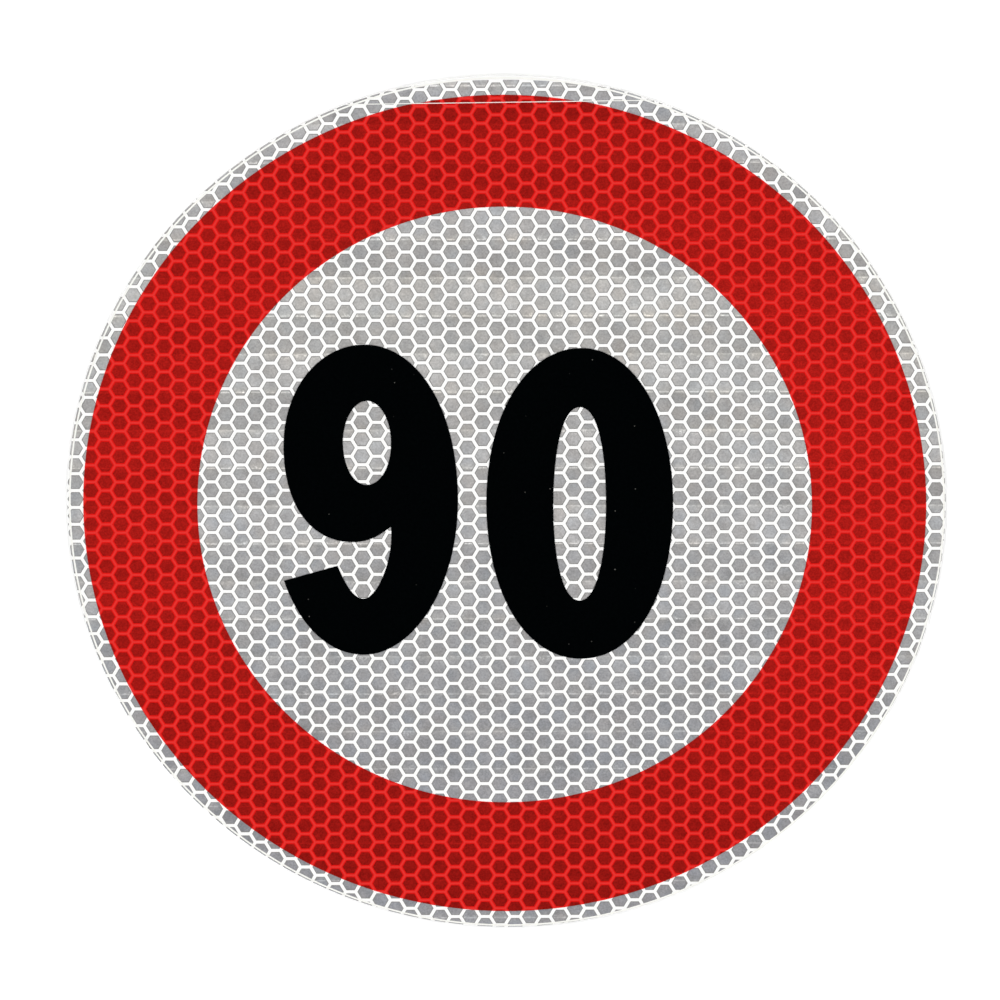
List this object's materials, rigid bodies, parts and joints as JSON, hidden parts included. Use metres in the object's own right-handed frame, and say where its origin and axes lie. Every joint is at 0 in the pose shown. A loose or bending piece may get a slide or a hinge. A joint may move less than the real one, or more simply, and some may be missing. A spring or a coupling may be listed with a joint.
{
  "type": "speed limit sign",
  "caption": "Round self-adhesive reflective speed limit disc with a red ring, black numerals and a split backing paper.",
  "frame": {"origin": "centre of the disc on the back of its backing paper", "axes": "+Z out of the printed face, +Y to the top of the sign, +X to the right as it is read"},
  "size_m": [0.2, 0.2, 0.0007],
  "materials": {
    "reflective_film": "glossy honeycomb",
    "red_print": "glossy",
    "black_print": "satin",
    "backing_paper": "smooth"
  },
  "bodies": {
    "root": {"reflective_sheet": "reflective_film", "red_border": "red_print", "numeral_nine": "black_print", "numeral_zero": "black_print", "release_liner": "backing_paper", "release_tab": "backing_paper"}
  },
  "joints": []
}
